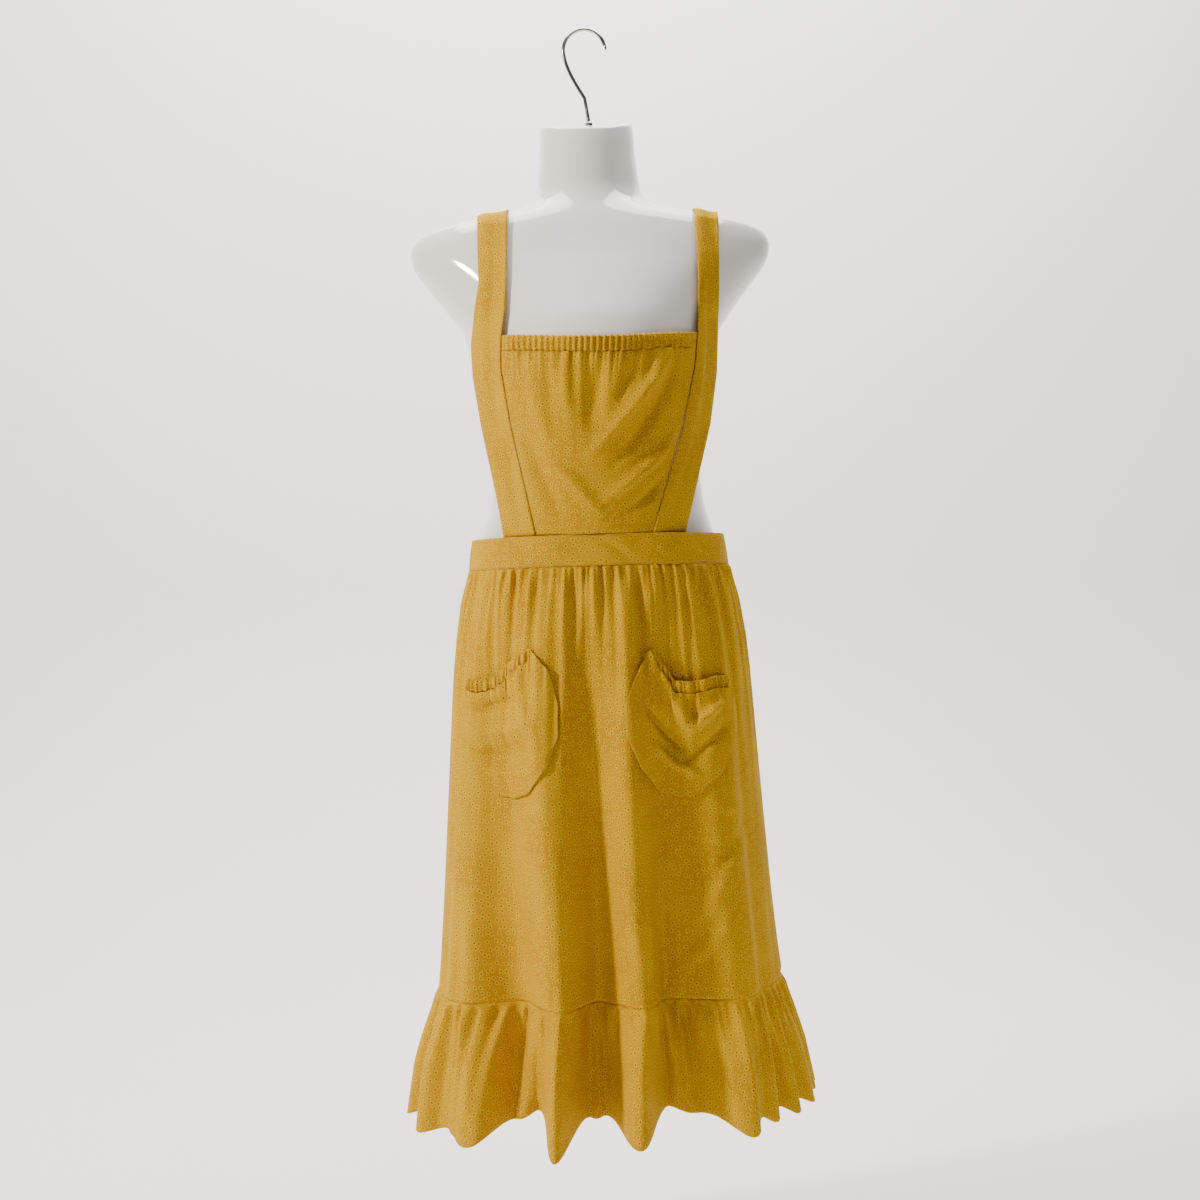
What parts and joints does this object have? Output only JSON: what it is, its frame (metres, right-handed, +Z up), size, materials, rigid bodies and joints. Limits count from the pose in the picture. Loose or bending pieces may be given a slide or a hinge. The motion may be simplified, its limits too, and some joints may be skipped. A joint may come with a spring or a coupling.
{
  "type": "sundress on a hanging torso form",
  "caption": "Pinafore sundress in mustard calico, with a gathered bib, crossed straps, patch pockets and a hem ruffle, on a limbless hanging torso form.",
  "frame": {"origin": "inside of the hook's crown, where it bears on a rail", "axes": "+Z up, -Y is the wearer's front, +X is the wearer's left"},
  "size_m": [0.4666, 0.2641, 1.2456],
  "materials": {
    "cotton_print": "matt woven cotton, small all-over print",
    "gathered_casing": "the same cotton, tightly gathered on elastic",
    "form_plastic": "glossy moulded plastic",
    "steel_wire": "polished steel"
  },
  "bodies": {
    "root": {"bib_panel": "cotton_print", "strap_right": "cotton_print", "strap_left": "cotton_print", "waistband_front": "cotton_print", "waistband_back": "cotton_print", "skirt_front": "cotton_print", "skirt_back": "cotton_print", "ruffle_front": "cotton_print", "ruffle_back": "cotton_print", "pocket_right": "cotton_print", "pocket_left": "cotton_print", "bib_top_casing": "gathered_casing", "pocket_right_casing": "gathered_casing", "pocket_left_casing": "gathered_casing", "torso_form": "form_plastic", "hook": "steel_wire", "hook_nut": "steel_wire"}
  },
  "joints": []
}
